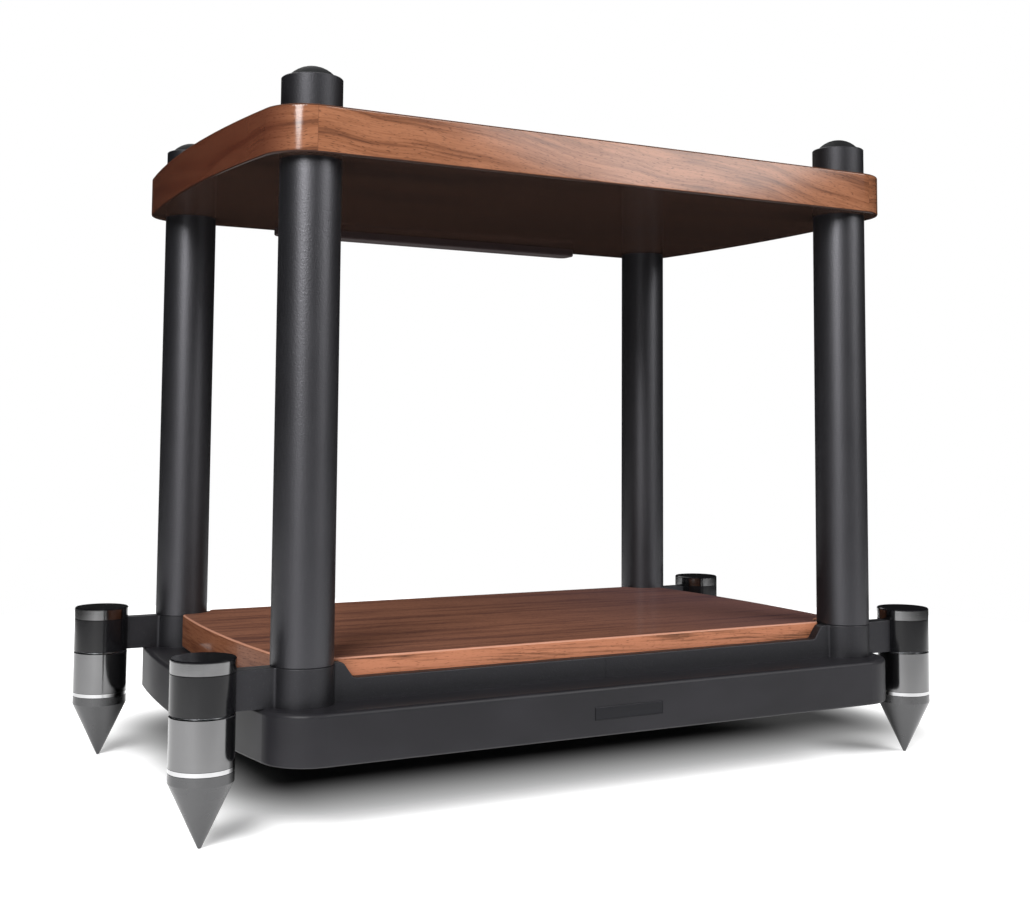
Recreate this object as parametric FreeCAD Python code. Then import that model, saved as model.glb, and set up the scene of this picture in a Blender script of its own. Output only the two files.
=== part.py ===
import FreeCAD, Part
import math
import os

Vector = FreeCAD.Vector

# Loudspeaker stand: a walnut top board on four steel pillars, a walnut shelf board on a black plinth,
# and four screw-adjusted spike feet on outrigger arms.
# Millimetres. The origin is on the floor under the middle of the stand, +X runs to the right along the front,
# +Y to the rear and +Z up. The spike tips touch the floor.

# Plan: the top board sets the size, the pillars stand in from its sides, and the feet reach out from the pillars
TOP_BOARD_W = 526.0
TOP_BOARD_D = 337.0
PILLAR_INSET_X = 40.5
PILLAR_INSET_Y = 29.0
FOOT_REACH = 63.0
SIDE_BOW_R = 1140.0

# Boards; the lower board's sides stand a little outside the pillar axes
TOP_BOARD_T = 31.0
TOP_BOARD_CORNER_R = 31.0
LOWER_BOARD_SIDE = 11.5
LOWER_BOARD_T = 25.0
NOTCH_ROUND = 4.0
BOARD_ROUND = 1.6

# Plinth, which stands out past the pillar axes at the sides, in front and behind
PLINTH_SIDE = 37.5
PLINTH_FRONT = 35.5
PLINTH_T = 32.5
PLINTH_CORNER_R = 32.0
PLINTH_ROUND = 3.0
PLINTH_LOWER_ROUND = 1.5

# Pillars, caps and domes
PILLAR_D = 40.0
PILLAR_WALL = 2.0
PILLAR_L = 320.0
PILLAR_EDGE = 0.5
BUSH_L = 12.0
CAP_H = 22.5
CAP_SEAT = 1.0
CAP_EDGE = 0.6
CAP_THREAD_L = 14.0
DOME_D = 33.0
DOME_H = 8.3
DOME_SEAT = 1.0

# Tie rods with their washers and nuts, in counterbores under the plinth
ROD_D = 10.0
ROD_INSET = 3.0
WASHER_D = 24.0
WASHER_T = 2.0
NUT_FLATS = 17.0
NUT_H = 8.0
NUT_BORE_DEPTH = 14.0

# Outriggers: eye, arm, collar and half a rail in one casting, and the sleeves round the eyes
COLLAR_H = 24.5
ARM_T = 11.0
ROOT_FILLET = 2.5
CAST_EDGE = 0.8
EYE_D = 34.0
SLEEVE_EDGE = 0.25

# Rails, which meet in the middle of the stand and rise to the collar's height at their outer ends
RAIL_T = 8.0
RAIL_H = 14.5
RAIL_SEAM = 0.2
SHOULDER_FLAT = 6.5
SHOULDER_RUN = 7.3
SHOULDER_ROUND = 3.0
RAIL_SCREW_D = 5.0
RAIL_SCREW_HEAD_D = 9.0
RAIL_SCREW_HEAD_H = 5.0
RAIL_SCREW_BORE_DEPTH = 16.0
RAIL_SCREW_GRIP = 9.0
RAIL_SCREW_PITCH = 105.0
RAIL_SCREWS = 4

# Stiffener bar under the rear of the top board
BAR_L = 292.0
BAR_W = 22.0
BAR_T = 6.4
BAR_REAR_INSET = 8.0
BAR_END_R = 7.0
BAR_EDGE = 1.5
BAR_SCREW_D = 4.0
BAR_SCREW_HEAD_D = 8.0
BAR_SCREW_HEAD_H = 2.4
BAR_SCREW_L = 18.0
BAR_SCREW_PITCH = 84.0
BAR_SCREWS = 4

# Pads under the lower board
PAD_D = 20.0
PAD_T = 1.5
PAD_PITCH_X = 170.0
PAD_PITCH_Y = 180.0
PAD_COLUMNS = 3
PAD_ROWS = 2

# Spike feet
FOOT_D = 40.0
SPIKE_TIP_D = 2.0
SPIKE_CONE_H = 39.8
SPIKE_NECK_H = 5.9
SPIKE_THREAD_L = 14.0
TRIM_RING_H = 3.2
TRIM_RING_EDGE = 0.3
FOOT_BODY_H = 30.3
FOOT_EDGE = 0.5
FOOT_WASHER_D = 36.0
FOOT_WASHER_T = 0.8
STUD_D = 10.0
STUD_END_GAP = 0.5
LOCK_RING_H = 7.5
LOCK_RING_EDGE = 0.25
LOCK_CAP_T = 1.3
LOCK_CAP_EDGE = 0.7

# Clearances on a radius or a side
THREAD_CLEARANCE = 0.08
FIT_CLEARANCE = 0.1
SEAT_CLEARANCE = 0.2
ROD_CLEARANCE = 0.6
NOTCH_CLEARANCE = 2.0
BORE_CLEARANCE = 1.0

# Places worked out from the sizes above
pillar_x = TOP_BOARD_W / 2 - PILLAR_INSET_X
pillar_y = TOP_BOARD_D / 2 - PILLAR_INSET_Y
foot_x = pillar_x + FOOT_REACH
pillar_r = PILLAR_D / 2
rod_r = ROD_D / 2
stud_r = STUD_D / 2
foot_r = FOOT_D / 2
eye_r = EYE_D / 2

neck_z = SPIKE_CONE_H
ring_z = neck_z + SPIKE_NECK_H
body_z = ring_z + TRIM_RING_H
washer_z = body_z + FOOT_BODY_H
deck_z = washer_z + FOOT_WASHER_T
plinth_z = deck_z - PLINTH_T
collar_top_z = deck_z + COLLAR_H
lock_cap_z = collar_top_z + LOCK_RING_H
lower_board_z = deck_z + PAD_T
underside_z = collar_top_z + PILLAR_L
board_top_z = underside_z + TOP_BOARD_T
cap_z = board_top_z - CAP_SEAT
cap_top_z = board_top_z + CAP_H
rod_z = plinth_z + ROD_INSET
rod_top_z = cap_z + CAP_THREAD_L - FIT_CLEARANCE
nut_seat_z = plinth_z + NUT_BORE_DEPTH

rail_face_y = pillar_y + ARM_T / 2
rail_inner_y = rail_face_y - RAIL_T
lower_board_w = 2 * (pillar_x + LOWER_BOARD_SIDE)
lower_board_d = 2 * (rail_inner_y - SEAT_CLEARANCE)
plinth_w = 2 * (pillar_x + PLINTH_SIDE)
plinth_d = 2 * (pillar_y + PLINTH_FRONT)
bar_y = TOP_BOARD_D / 2 - BAR_REAR_INSET - BAR_W / 2

CORNERS = {
    "front_left": (-1, -1),
    "front_right": (1, -1),
    "rear_left": (-1, 1),
    "rear_right": (1, 1),
}
SAME_HEIGHT = 1e-6


def cylinder(x, y, z, radius, height):
    """Upright cylinder on the axis (x, y), standing on z."""
    return Part.makeCylinder(radius, height, Vector(x, y, z))


def tube(x, y, z, outer_r, inner_r, height):
    """Upright tube on the axis (x, y)."""
    return cylinder(x, y, z, outer_r, height).cut(cylinder(x, y, z, inner_r, height))


def turned(x, y, profile):
    """Turned piece: a closed profile of (radius, z) points spun about the axis (x, y)."""
    points = [Vector(x + radius, y, z) for radius, z in profile]
    face = Part.Face(Part.makePolygon(points + points[:1]))
    return face.revolve(Vector(x, y, 0), Vector(0, 0, 1), 360)


def level_edges(shape, z):
    """Edges that lie flat at the height z."""
    found = []
    for edge in shape.Edges:
        box = edge.BoundBox
        if abs(box.ZMin - z) < SAME_HEIGHT and abs(box.ZMax - z) < SAME_HEIGHT:
            found.append(edge)
    return found


def upright_edges(shape):
    """Straight edges parallel to Z."""
    found = []
    for edge in shape.Edges:
        box = edge.BoundBox
        if box.XLength < SAME_HEIGHT and box.YLength < SAME_HEIGHT:
            found.append(edge)
    return found


def bowed_slab(width, depth, corner_r, z, thickness):
    """Slab with straight front and rear, sides bowed outwards and rounded corners.

    Each corner arc is tangent to the straight edge and to the bowed side."""
    half_w = width / 2
    half_d = depth / 2
    bow_x = half_w - SIDE_BOW_R
    corner_y = half_d - corner_r
    reach = SIDE_BOW_R - corner_r
    corner_x = bow_x + math.sqrt(reach ** 2 - corner_y ** 2)
    start = math.atan2(corner_y, corner_x - bow_x)
    middle = (start + math.pi / 2) / 2

    def corner(angle, sx, sy):
        return Vector(sx * (corner_x + corner_r * math.cos(angle)), sy * (corner_y + corner_r * math.sin(angle)), z)

    edges = []
    for sx, sy in ((1, -1), (1, 1), (-1, 1), (-1, -1)):
        arc = [corner(angle, sx, sy) for angle in (start, middle, math.pi / 2)]
        edges.append(Part.Arc(*arc).toShape())
    for side in (1, -1):
        ends = [corner(start, side, -1), Vector(side * half_w, 0, z), corner(start, side, 1)]
        edges.append(Part.Arc(*ends).toShape())
        straight = [corner(math.pi / 2, -1, side), corner(math.pi / 2, 1, side)]
        edges.append(Part.LineSegment(*straight).toShape())
    outline = Part.Wire(Part.__sortEdges__(edges))
    return Part.Face(outline).extrude(Vector(0, 0, thickness))


def at_corners(make):
    """One copy of a piece at each pillar, given as make(x, y)."""
    return [make(sx * pillar_x, sy * pillar_y) for sx, sy in CORNERS.values()]


def bar_screw_places():
    """Axes of the screws along the stiffener bar."""
    first = -BAR_SCREW_PITCH * (BAR_SCREWS - 1) / 2
    return [(first + index * BAR_SCREW_PITCH, bar_y) for index in range(BAR_SCREWS)]


def rail_screw_places():
    """Axes of the screws that come up through the plinth into both rails."""
    first = -RAIL_SCREW_PITCH * (RAIL_SCREWS - 1) / 2
    middle_y = (rail_face_y + rail_inner_y) / 2
    places = []
    for side in (-1, 1):
        for index in range(RAIL_SCREWS):
            places.append((first + index * RAIL_SCREW_PITCH, side * middle_y))
    return places


def pad_places():
    """Centres of the pads under the lower board."""
    first_x = -PAD_PITCH_X * (PAD_COLUMNS - 1) / 2
    first_y = -PAD_PITCH_Y * (PAD_ROWS - 1) / 2
    places = []
    for column in range(PAD_COLUMNS):
        for row in range(PAD_ROWS):
            places.append((first_x + column * PAD_PITCH_X, first_y + row * PAD_PITCH_Y))
    return places


def make_top_board():
    """Top board with rod holes, shallow cap seats above and screw holes for the stiffener below."""
    board = bowed_slab(TOP_BOARD_W, TOP_BOARD_D, TOP_BOARD_CORNER_R, underside_z, TOP_BOARD_T)
    rims = level_edges(board, underside_z) + level_edges(board, board_top_z)
    board = board.makeFillet(BOARD_ROUND, rims)
    for hole in at_corners(lambda x, y: cylinder(x, y, underside_z, rod_r + ROD_CLEARANCE, TOP_BOARD_T)):
        board = board.cut(hole)
    for seat in at_corners(lambda x, y: cylinder(x, y, cap_z, pillar_r + SEAT_CLEARANCE, CAP_SEAT)):
        board = board.cut(seat)
    hole_depth = BAR_SCREW_L - BAR_T + FIT_CLEARANCE
    for x, y in bar_screw_places():
        board = board.cut(cylinder(x, y, underside_z, BAR_SCREW_D / 2 + FIT_CLEARANCE, hole_depth))
    return board


def make_lower_board():
    """Shelf board between the rails, with a round notch at each collar."""
    board = bowed_slab(lower_board_w, lower_board_d, NOTCH_ROUND, lower_board_z, LOWER_BOARD_T)
    notch_r = pillar_r + NOTCH_CLEARANCE
    for notch in at_corners(lambda x, y: cylinder(x, y, lower_board_z, notch_r, LOWER_BOARD_T)):
        board = board.cut(notch)
    board = board.makeFillet(NOTCH_ROUND, upright_edges(board))
    rims = level_edges(board, lower_board_z) + level_edges(board, lower_board_z + LOWER_BOARD_T)
    return board.makeFillet(BOARD_ROUND, rims)


def make_plinth():
    """Plinth slab with counterbored rod holes and rail screw holes from below."""
    plinth = bowed_slab(plinth_w, plinth_d, PLINTH_CORNER_R, plinth_z, PLINTH_T)
    plinth = plinth.makeFillet(PLINTH_ROUND, level_edges(plinth, deck_z))
    plinth = plinth.makeFillet(PLINTH_LOWER_ROUND, level_edges(plinth, plinth_z))
    nut_bore_r = WASHER_D / 2 + BORE_CLEARANCE
    for hole in at_corners(lambda x, y: cylinder(x, y, plinth_z, rod_r + ROD_CLEARANCE, PLINTH_T)):
        plinth = plinth.cut(hole)
    for bore in at_corners(lambda x, y: cylinder(x, y, plinth_z, nut_bore_r, NUT_BORE_DEPTH)):
        plinth = plinth.cut(bore)
    head_bore_r = RAIL_SCREW_HEAD_D / 2 + BORE_CLEARANCE
    for x, y in rail_screw_places():
        plinth = plinth.cut(cylinder(x, y, plinth_z, RAIL_SCREW_D / 2 + SEAT_CLEARANCE, PLINTH_T))
        plinth = plinth.cut(cylinder(x, y, plinth_z, head_bore_r, RAIL_SCREW_BORE_DEPTH))
    return plinth


def make_rail_half(sx, sy):
    """Half rail from the middle of the stand into the collar, with a slanted rise to the collar's height."""
    face_x = pillar_x - math.sqrt(pillar_r ** 2 - (ARM_T / 2) ** 2)
    flat_x = face_x - SHOULDER_FLAT
    slant_x = flat_x - SHOULDER_RUN
    seam_x = RAIL_SEAM / 2
    low_z = deck_z + RAIL_H
    outline = [
        (seam_x, deck_z),
        (pillar_x, deck_z),
        (pillar_x, collar_top_z),
        (flat_x, collar_top_z),
        (slant_x, low_z),
        (seam_x, low_z),
    ]
    points = [Vector(sx * x, sy * rail_face_y, z) for x, z in outline]
    rail = Part.Face(Part.makePolygon(points + points[:1])).extrude(Vector(0, -sy * RAIL_T, 0))
    shoulders = []
    for edge in rail.Edges:
        x = abs(edge.CenterOfMass.x)
        crosses = edge.BoundBox.YLength > RAIL_T / 2
        if crosses and (abs(x - flat_x) < SAME_HEIGHT or abs(x - slant_x) < SAME_HEIGHT):
            shoulders.append(edge)
    return rail.makeFillet(SHOULDER_ROUND, shoulders)


def make_rail_screw(x, y):
    """Cap screw from the plinth's counterbore up into the rail."""
    seat_z = plinth_z + RAIL_SCREW_BORE_DEPTH
    tip_z = deck_z + RAIL_SCREW_GRIP
    head = cylinder(x, y, seat_z - RAIL_SCREW_HEAD_H, RAIL_SCREW_HEAD_D / 2, RAIL_SCREW_HEAD_H)
    return head.fuse(cylinder(x, y, seat_z, RAIL_SCREW_D / 2, tip_z - seat_z))


def make_pillar(x, y):
    """Steel tube between the collar and the top board, its ends lightly chamfered outside."""
    inner_r = pillar_r - PILLAR_WALL
    return turned(x, y, [
        (inner_r, collar_top_z),
        (pillar_r - PILLAR_EDGE, collar_top_z),
        (pillar_r, collar_top_z + PILLAR_EDGE),
        (pillar_r, underside_z),
        (inner_r, underside_z),
    ])


def make_bushes(x, y):
    """Two plugs that centre the rod in the ends of one tube."""
    outer_r = pillar_r - PILLAR_WALL - FIT_CLEARANCE
    inner_r = rod_r + FIT_CLEARANCE
    return [tube(x, y, z, outer_r, inner_r, BUSH_L) for z in (collar_top_z, underside_z - BUSH_L)]


def make_cap(x, y):
    """Cap screwed on the rod's upper end, sunk a little into the top board, with a seat for the dome."""
    thread_r = rod_r + THREAD_CLEARANCE
    seat_r = DOME_D / 2 + FIT_CLEARANCE
    return turned(x, y, [
        (thread_r, cap_z),
        (pillar_r, cap_z),
        (pillar_r, cap_top_z - CAP_EDGE),
        (pillar_r - CAP_EDGE, cap_top_z),
        (seat_r, cap_top_z),
        (seat_r, cap_top_z - DOME_SEAT),
        (0, cap_top_z - DOME_SEAT),
        (0, cap_z + CAP_THREAD_L),
        (thread_r, cap_z + CAP_THREAD_L),
    ])


def make_dome(x, y):
    """Rubber dome: a short round foot in the cap's seat under a spherical crown."""
    base_r = DOME_D / 2
    sphere_r = (base_r ** 2 + DOME_H ** 2) / (2 * DOME_H)
    centre_z = cap_top_z + DOME_H - sphere_r
    half_angle = math.asin(base_r / sphere_r) / 2
    foot_z = cap_top_z - DOME_SEAT
    rim = Vector(x + base_r, y, cap_top_z)
    shoulder = Vector(x + sphere_r * math.sin(half_angle), y, centre_z + sphere_r * math.cos(half_angle))
    crown = Vector(x, y, cap_top_z + DOME_H)
    edges = [
        Part.Arc(rim, shoulder, crown).toShape(),
        Part.makePolygon([crown, Vector(x, y, foot_z), Vector(x + base_r, y, foot_z), rim]),
    ]
    profile = Part.Wire([edges[0]] + edges[1].Edges)
    return Part.Face(profile).revolve(Vector(x, y, 0), Vector(0, 0, 1), 360)


def make_nut(x, y):
    """Hexagon nut on the rod, below the base washer."""
    corner_r = NUT_FLATS / math.sqrt(3)
    z = nut_seat_z - WASHER_T - NUT_H
    corners = []
    for index in range(6):
        angle = index * math.pi / 3
        corners.append(Vector(x + corner_r * math.cos(angle), y + corner_r * math.sin(angle), z))
    prism = Part.Face(Part.makePolygon(corners + corners[:1])).extrude(Vector(0, 0, NUT_H))
    return prism.cut(cylinder(x, y, z, rod_r + THREAD_CLEARANCE, NUT_H))


def make_outrigger(sx, sy):
    """Half rail, collar, arm and eye in one casting, with hollow fillets beside the collar and soft outer edges."""
    x = sx * pillar_x
    y = sy * pillar_y
    eye_x = sx * foot_x
    arm = Part.makeBox(FOOT_REACH, ARM_T, COLLAR_H, Vector(min(x, eye_x), y - ARM_T / 2, deck_z))
    collar = cylinder(x, y, deck_z, pillar_r, COLLAR_H)
    casting = collar.fuse([arm, make_rail_half(sx, sy)]).removeSplitter()
    roots = []
    for edge in upright_edges(casting):
        middle = edge.CenterOfMass
        if abs(math.hypot(middle.x - x, middle.y - y) - pillar_r) < SAME_HEIGHT:
            roots.append(edge)
    casting = casting.makeFillet(ROOT_FILLET, roots)
    face_y = sy * rail_face_y
    rims = []
    for edge in casting.Edges:
        box = edge.BoundBox
        on_face = abs(box.YMin - face_y) < SAME_HEIGHT and abs(box.YMax - face_y) < SAME_HEIGHT
        if on_face and box.XLength > SAME_HEIGHT and box.ZMax > deck_z + SAME_HEIGHT:
            rims.append(edge)
    casting = casting.makeFillet(CAST_EDGE, rims)
    casting = casting.fuse(cylinder(eye_x, y, deck_z, eye_r, COLLAR_H)).removeSplitter()
    casting = casting.cut(cylinder(x, y, deck_z, rod_r + ROD_CLEARANCE, COLLAR_H))
    casting = casting.cut(cylinder(eye_x, y, deck_z, stud_r + THREAD_CLEARANCE, COLLAR_H))
    for screw_x, screw_y in rail_screw_places():
        hole_r = RAIL_SCREW_D / 2 + THREAD_CLEARANCE
        casting = casting.cut(cylinder(screw_x, screw_y, deck_z, hole_r, RAIL_SCREW_GRIP + FIT_CLEARANCE))
    return casting


def make_sleeve(sx, sy):
    """Gloss ring round the eye, slotted for the arm."""
    x = sx * foot_x
    y = sy * pillar_y
    inner_r = eye_r + FIT_CLEARANCE
    ring = turned(x, y, [
        (inner_r, deck_z),
        (foot_r - SLEEVE_EDGE, deck_z),
        (foot_r, deck_z + SLEEVE_EDGE),
        (foot_r, collar_top_z - SLEEVE_EDGE),
        (foot_r - SLEEVE_EDGE, collar_top_z),
        (inner_r, collar_top_z),
    ])
    slot_w = ARM_T + 2 * SEAT_CLEARANCE
    slot_x = x if sx < 0 else x - foot_r
    return ring.cut(Part.makeBox(foot_r, slot_w, COLLAR_H, Vector(slot_x, y - slot_w / 2, deck_z)))


def make_bar():
    """Stiffener bar with rounded ends, softened lower edges and countersunk holes."""
    z = underside_z - BAR_T
    bar = Part.makeBox(BAR_L, BAR_W, BAR_T, Vector(-BAR_L / 2, bar_y - BAR_W / 2, z))
    bar = bar.makeFillet(BAR_END_R, upright_edges(bar))
    bar = bar.makeFillet(BAR_EDGE, level_edges(bar, z))
    for x, y in bar_screw_places():
        bar = bar.cut(make_bar_screw_form(x, y, FIT_CLEARANCE, BAR_T))
    return bar


def make_bar_screw_form(x, y, clearance, length):
    """Countersunk screw, pointing up, its head flush with the bar's lower face."""
    z = underside_z - BAR_T
    head_r = BAR_SCREW_HEAD_D / 2 + clearance
    shank_r = BAR_SCREW_D / 2 + clearance
    return turned(x, y, [
        (0, z),
        (head_r, z),
        (shank_r, z + BAR_SCREW_HEAD_H),
        (shank_r, z + length),
        (0, z + length),
    ])


def make_spike_cone(x, y):
    """Spike cone with a short neck and a blind threaded hole for the stud."""
    thread_r = stud_r + THREAD_CLEARANCE
    return turned(x, y, [
        (0, 0),
        (SPIKE_TIP_D / 2, 0),
        (foot_r, neck_z),
        (foot_r, ring_z),
        (thread_r, ring_z),
        (thread_r, ring_z - SPIKE_THREAD_L),
        (0, ring_z - SPIKE_THREAD_L),
    ])


def make_trim_ring(x, y):
    """Bright ring between spike and foot cylinder, both rims chamfered."""
    bore_r = stud_r + FIT_CLEARANCE
    return turned(x, y, [
        (bore_r, ring_z),
        (foot_r - TRIM_RING_EDGE, ring_z),
        (foot_r, ring_z + TRIM_RING_EDGE),
        (foot_r, body_z - TRIM_RING_EDGE),
        (foot_r - TRIM_RING_EDGE, body_z),
        (bore_r, body_z),
    ])


def make_foot_body(x, y):
    """Foot cylinder with chamfered rims, bored for the stud."""
    bore_r = stud_r + FIT_CLEARANCE
    return turned(x, y, [
        (bore_r, body_z),
        (foot_r, body_z),
        (foot_r, washer_z - FOOT_EDGE),
        (foot_r - FOOT_EDGE, washer_z),
        (bore_r, washer_z),
    ])


def make_stud(x, y):
    """Threaded stud from the spike cone up through the eye into the lock ring."""
    z = ring_z - SPIKE_THREAD_L + STUD_END_GAP
    return cylinder(x, y, z, stud_r, lock_cap_z - STUD_END_GAP - z)


def make_lock_ring(x, y):
    """Lock ring that tightens on the stud against the eye."""
    bore_r = stud_r + THREAD_CLEARANCE
    return turned(x, y, [
        (bore_r, collar_top_z),
        (foot_r - LOCK_RING_EDGE, collar_top_z),
        (foot_r, collar_top_z + LOCK_RING_EDGE),
        (foot_r, lock_cap_z),
        (bore_r, lock_cap_z),
    ])


def make_lock_cap(x, y):
    """Thin cover on the lock ring with a chamfered rim."""
    top_z = lock_cap_z + LOCK_CAP_T
    return turned(x, y, [
        (0, lock_cap_z),
        (foot_r, lock_cap_z),
        (foot_r, top_z - LOCK_CAP_EDGE),
        (foot_r - LOCK_CAP_EDGE, top_z),
        (0, top_z),
    ])


def save(node, *solids):
    """Write one node, a single solid or a group of separate ones."""
    shape = solids[0] if len(solids) == 1 else Part.makeCompound(list(solids))
    shape.exportStep("parts/" + node + ".step")


os.makedirs("parts", exist_ok=True)

save("top_board", make_top_board())
save("lower_board", make_lower_board())
save("plinth", make_plinth())
save("rail_screws", *[make_rail_screw(x, y) for x, y in rail_screw_places()])
save("stiffener_bar", make_bar())
save("stiffener_screws", *[make_bar_screw_form(x, y, 0, BAR_SCREW_L) for x, y in bar_screw_places()])
save("board_pads", *[cylinder(x, y, deck_z, PAD_D / 2, PAD_T) for x, y in pad_places()])
save("cap_domes", *at_corners(make_dome))
save("tie_rods", *at_corners(lambda x, y: cylinder(x, y, rod_z, rod_r, rod_top_z - rod_z)))
save("base_nuts", *at_corners(make_nut))
base_washer_z = nut_seat_z - WASHER_T
save("base_washers", *at_corners(
    lambda x, y: tube(x, y, base_washer_z, WASHER_D / 2, rod_r + SEAT_CLEARANCE, WASHER_T)))
save("tube_bushes", *[bush for pair in at_corners(make_bushes) for bush in pair])

for name, (sx, sy) in CORNERS.items():
    x = sx * pillar_x
    y = sy * pillar_y
    axis_x = sx * foot_x
    save("pillar_" + name, make_pillar(x, y))
    save("pillar_cap_" + name, make_cap(x, y))
    save("outrigger_" + name, make_outrigger(sx, sy))
    save("eye_sleeve_" + name, make_sleeve(sx, sy))
    save("spike_cone_" + name, make_spike_cone(axis_x, y))
    save("trim_ring_" + name, make_trim_ring(axis_x, y))
    save("foot_body_" + name, make_foot_body(axis_x, y))
    save("foot_stud_" + name, make_stud(axis_x, y))
    save("foot_washer_" + name, tube(axis_x, y, washer_z, FOOT_WASHER_D / 2, stud_r + FIT_CLEARANCE, FOOT_WASHER_T))
    save("lock_ring_" + name, make_lock_ring(axis_x, y))
    save("lock_cap_" + name, make_lock_cap(axis_x, y))
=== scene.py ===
"""Finishes a four-pillar speaker stand: lacquered walnut, powder coat, painted plinth and polished feet."""
from math import cos, pi, radians, sin

import bmesh
import bpy
from bpy.props import FloatProperty, FloatVectorProperty, IntProperty, PointerProperty
from mathutils import Matrix, Vector


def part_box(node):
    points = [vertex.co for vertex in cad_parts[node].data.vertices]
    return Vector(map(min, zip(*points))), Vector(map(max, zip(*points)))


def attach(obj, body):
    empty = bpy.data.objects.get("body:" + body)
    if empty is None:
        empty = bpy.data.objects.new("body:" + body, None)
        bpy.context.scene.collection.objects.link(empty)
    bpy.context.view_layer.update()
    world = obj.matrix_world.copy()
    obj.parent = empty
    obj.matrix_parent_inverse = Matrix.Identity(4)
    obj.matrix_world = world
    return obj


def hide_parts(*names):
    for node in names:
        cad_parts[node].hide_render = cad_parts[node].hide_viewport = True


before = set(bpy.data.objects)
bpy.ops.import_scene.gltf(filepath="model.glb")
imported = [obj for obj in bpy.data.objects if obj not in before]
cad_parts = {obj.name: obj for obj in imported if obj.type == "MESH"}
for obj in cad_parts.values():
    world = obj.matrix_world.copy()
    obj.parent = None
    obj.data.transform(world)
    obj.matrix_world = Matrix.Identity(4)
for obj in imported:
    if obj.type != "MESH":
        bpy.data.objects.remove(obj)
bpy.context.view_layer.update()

bl_info = {
    "name": "Speaker stand finishes",
    "version": (1, 0, 0),
    "blender": (4, 5, 0),
    "location": "View3D > Sidebar > Stand",
    "description": "Finishes, small metalwork and studio for a four-pillar speaker stand",
    "category": "Object",
}

CORNERS = ("front_left", "front_right", "rear_left", "rear_right")
STAND = "stand"

# Lengths in metres, but for the sensor, which a camera takes in millimetres.
MM = 0.001
WELD = 1e-7
NEAREST_VIEW = 0.01
SENSOR_WIDTH = 36.0

FLOOR_SIDES = 96
SPARE_TURNS = 2.0
BLACK = (0.0, 0.0, 0.0, 1.0)
WHITE = (1.0, 1.0, 1.0, 1.0)

# The colour sockets of a Mix node share their names with its other sockets, so they go by number.
MIX_FACTOR, MIX_FIRST, MIX_SECOND, MIX_RESULT = 0, 6, 7, 2


def colour_property(name, description, default):
    """A colour that the panel offers, as linear red, green and blue."""
    return FloatVectorProperty(name=name, description=description, default=(*default, 1.0),
                               size=4, min=0.0, max=1.0, subtype="COLOR")


def length_property(name, description, default):
    """A length in metres that the panel offers."""
    return FloatProperty(name=name, description=description, default=default, min=0.0,
                         subtype="DISTANCE", unit="LENGTH", precision=5)


def place_property(name, description, default):
    """A place in the stand's frame, in metres."""
    return FloatVectorProperty(name=name, description=description, default=default,
                               subtype="TRANSLATION", unit="LENGTH")


def floor_property(name, description, default):
    """A place or a size on the floor, along and across the stand, in metres."""
    return FloatVectorProperty(name=name, description=description, size=2, default=default, unit="LENGTH")


def angle_property(name, description, degrees):
    """An angle that is given in degrees here and kept in radians."""
    return FloatProperty(name=name, description=description, default=radians(degrees),
                         subtype="ANGLE", unit="ROTATION")


def power_property(name, description, default):
    """A lamp's power in watts."""
    return FloatProperty(name=name, description=description, default=default, min=0.0, unit="POWER")


def share_property(name, description, default):
    """A brightness or a power as a share of a full one."""
    return FloatProperty(name=name, description=description, default=default, min=0.0, max=1.0,
                         subtype="FACTOR")


class StandSizes(bpy.types.PropertyGroup):
    """Sizes of the veneer's joints, the bare plate and the studs' thread."""

    veneer_seam: length_property("Veneer seam", "From a board's end to the seam in its edge band", 0.0345)
    board_rim: length_property("Board rim", "Height of the rim between face veneer and edge band", 0.0012)
    plate_width: length_property("Plate width", "Width of the bare plate on the plinth", 0.0550)
    plate_height: length_property("Plate height", "Height of the bare plate on the plinth", 0.0086)
    plate_depth: length_property("Plate depth", "Thickness of the bare plate", 0.0009)
    plate_proud: length_property("Plate proud", "How far the plate stands out of the plinth", 0.0005)
    plate_bevel: length_property("Plate bevel", "Bevel round the plate's front", 0.0002)
    plate_rim: length_property("Plate rim", "Width of the plate's raised rim", 0.0006)
    plate_slope: length_property("Plate slope", "Width of the slope inside the rim", 0.0001)
    plate_recess: length_property("Plate recess", "Depth of the plate's field below its rim", 0.00015)
    plate_middle: length_property("Plate middle", "Height of the plate's middle above the floor", 0.0626)
    thread_pitch: length_property("Thread pitch", "Pitch of the foot studs' thread", 0.0015)
    thread_depth: length_property("Thread depth", "Depth of the foot studs' thread", 0.0008)
    thread_sides: IntProperty(name="Thread sides", description="Steps in one turn of the thread",
                              default=24, min=8, max=64)


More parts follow.
